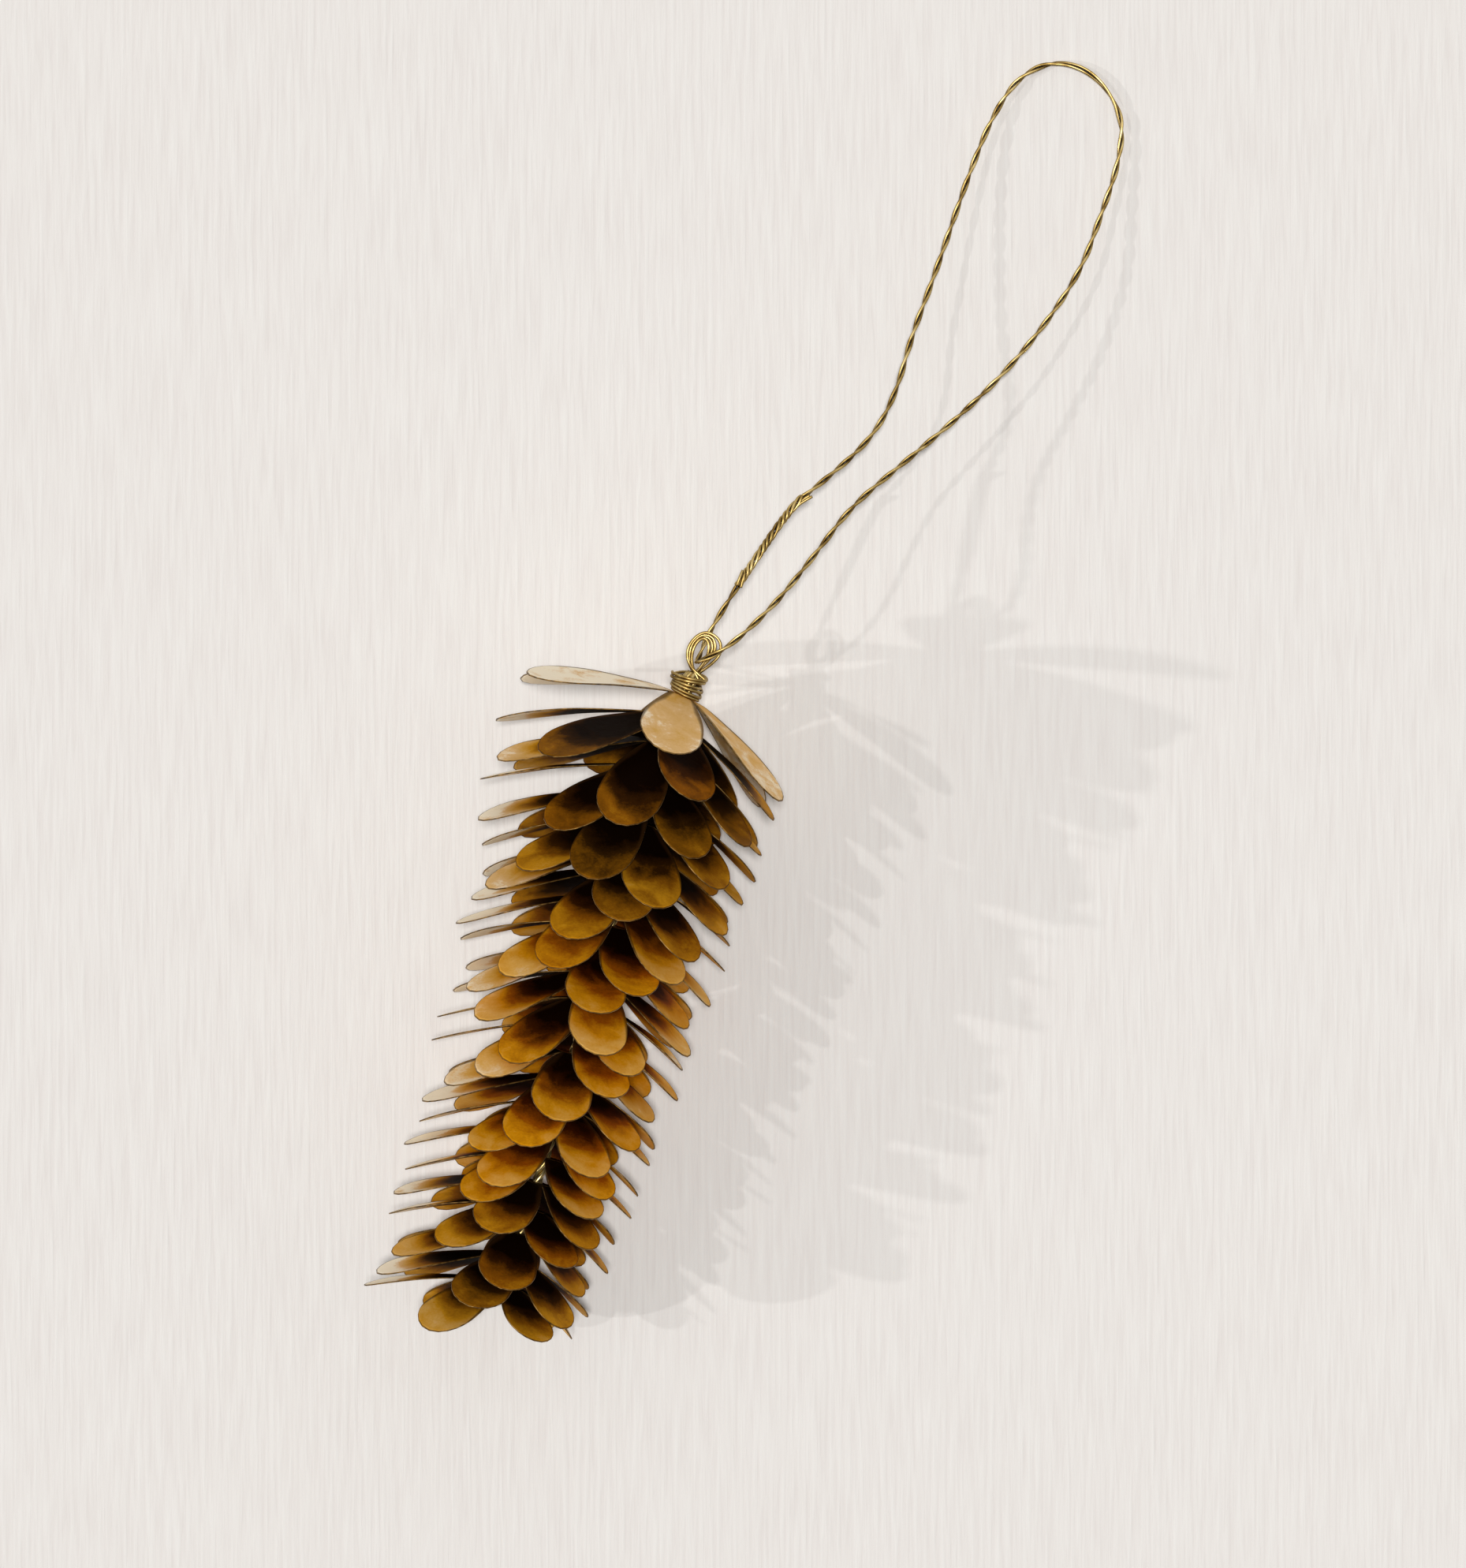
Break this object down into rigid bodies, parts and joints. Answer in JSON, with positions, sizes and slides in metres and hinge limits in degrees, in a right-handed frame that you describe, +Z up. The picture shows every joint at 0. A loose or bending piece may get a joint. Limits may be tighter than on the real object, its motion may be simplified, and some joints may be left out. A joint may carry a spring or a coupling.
{
  "type": "pine cone ornament",
  "caption": "Long hanging pine cone of stacked brass sheet petals threaded on a wire core, with a wire eye and a long twisted wire loop to hang it by.",
  "frame": {"origin": "on the board, under the middle of the ornament as it lies on its side", "axes": "+Z up from the board, +Y towards the hanger, +X to the right as seen from above"},
  "size_m": [0.1584, 0.2665, 0.0624],
  "materials": {
    "petal_brass": "aged, satin",
    "wire_brass": "drawn wire, satin"
  },
  "bodies": {
    "cone": {"core_wire": "wire_brass", "neck_wrap": "wire_brass", "whorl_01": "petal_brass", "whorl_02": "petal_brass", "whorl_03": "petal_brass", "whorl_04": "petal_brass", "whorl_05": "petal_brass", "whorl_06": "petal_brass", "whorl_07": "petal_brass", "whorl_08": "petal_brass", "whorl_09": "petal_brass", "whorl_10": "petal_brass", "whorl_11": "petal_brass", "whorl_12": "petal_brass", "whorl_13": "petal_brass", "whorl_14": "petal_brass", "whorl_15": "petal_brass", "whorl_16": "petal_brass", "whorl_17": "petal_brass", "whorl_18": "petal_brass", "whorl_19": "petal_brass", "whorl_20": "petal_brass", "whorl_21": "petal_brass", "whorl_22": "petal_brass", "whorl_23": "petal_brass", "whorl_24": "petal_brass"},
    "hanger": {"hanger_wire": "wire_brass", "hanger_splice": "wire_brass"}
  },
  "joints": [
    {"name": "hanger_swing", "type": "hinge", "parent": "cone", "child": "hanger", "pos_m": [-0.0104, 0.00814, 0.0293], "axis": [0, 0, 1], "range_deg": [-45, 60]}
  ]
}
